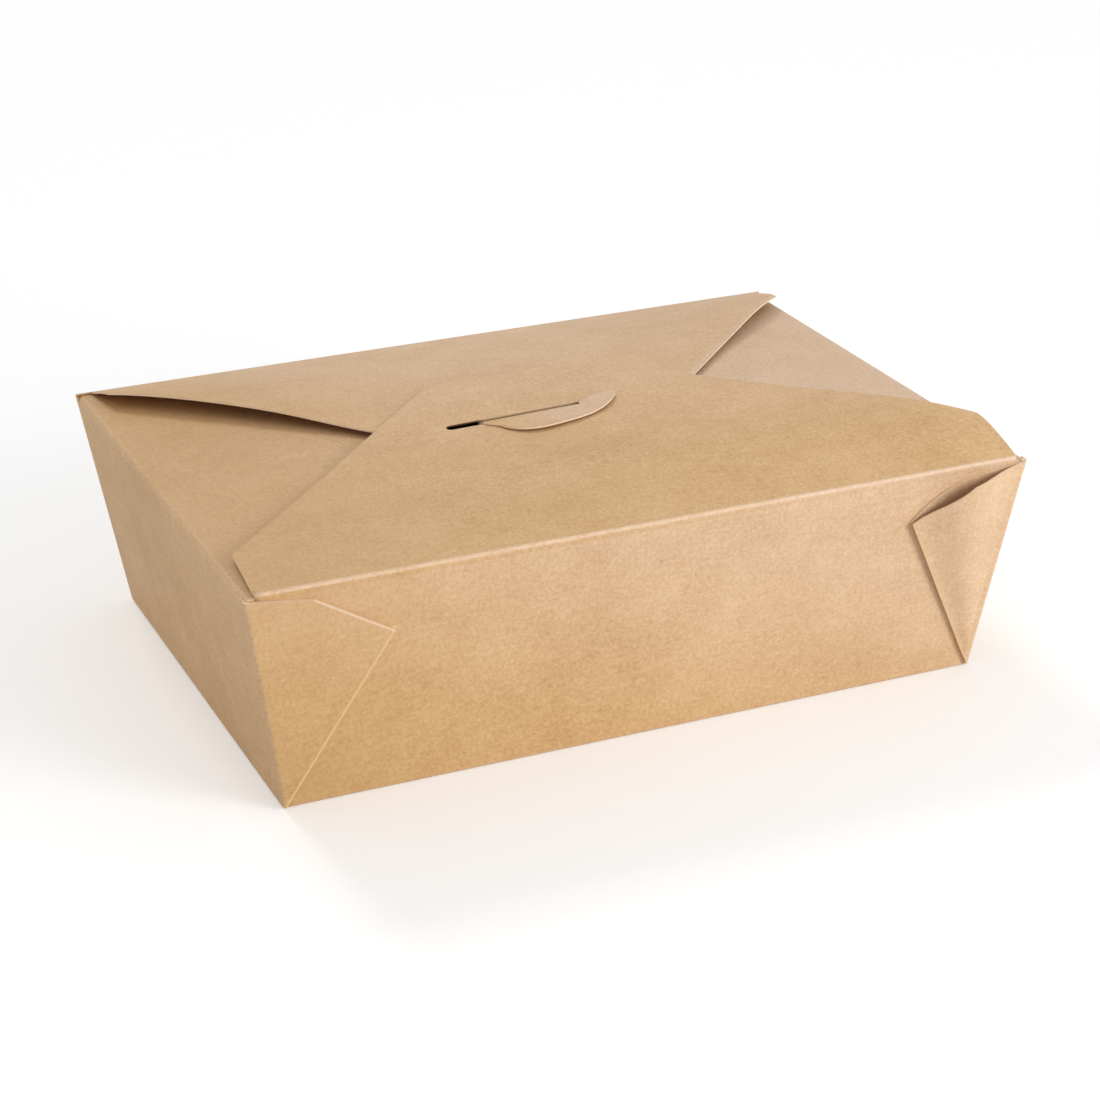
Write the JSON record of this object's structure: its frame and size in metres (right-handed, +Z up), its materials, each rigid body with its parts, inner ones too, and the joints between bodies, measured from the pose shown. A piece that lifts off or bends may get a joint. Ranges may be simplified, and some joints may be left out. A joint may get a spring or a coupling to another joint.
{
  "type": "takeout box",
  "caption": "Fold-top kraft board food box with flaring walls, folded corner webs, nested end and back flaps, and a front flap locked by a tongue through a slit.",
  "frame": {"origin": "middle of the base, on its underside", "axes": "+X along the long walls to the right of the front, +Y from the front wall to the back wall, +Z up"},
  "size_m": [0.217, 0.1604, 0.0695],
  "materials": {
    "kraft_board": "matte"
  },
  "bodies": {
    "tray": {"carton": "kraft_board", "lock_tongue": "kraft_board"},
    "lid": {"front_flap": "kraft_board"}
  },
  "joints": [
    {"name": "front_flap_hinge", "type": "hinge", "parent": "tray", "child": "lid", "pos_m": [0, -0.07675, 0.06294], "axis": [1, 0, 0], "range_deg": [0, 150], "deforming": ["lock_tongue"]}
  ]
}
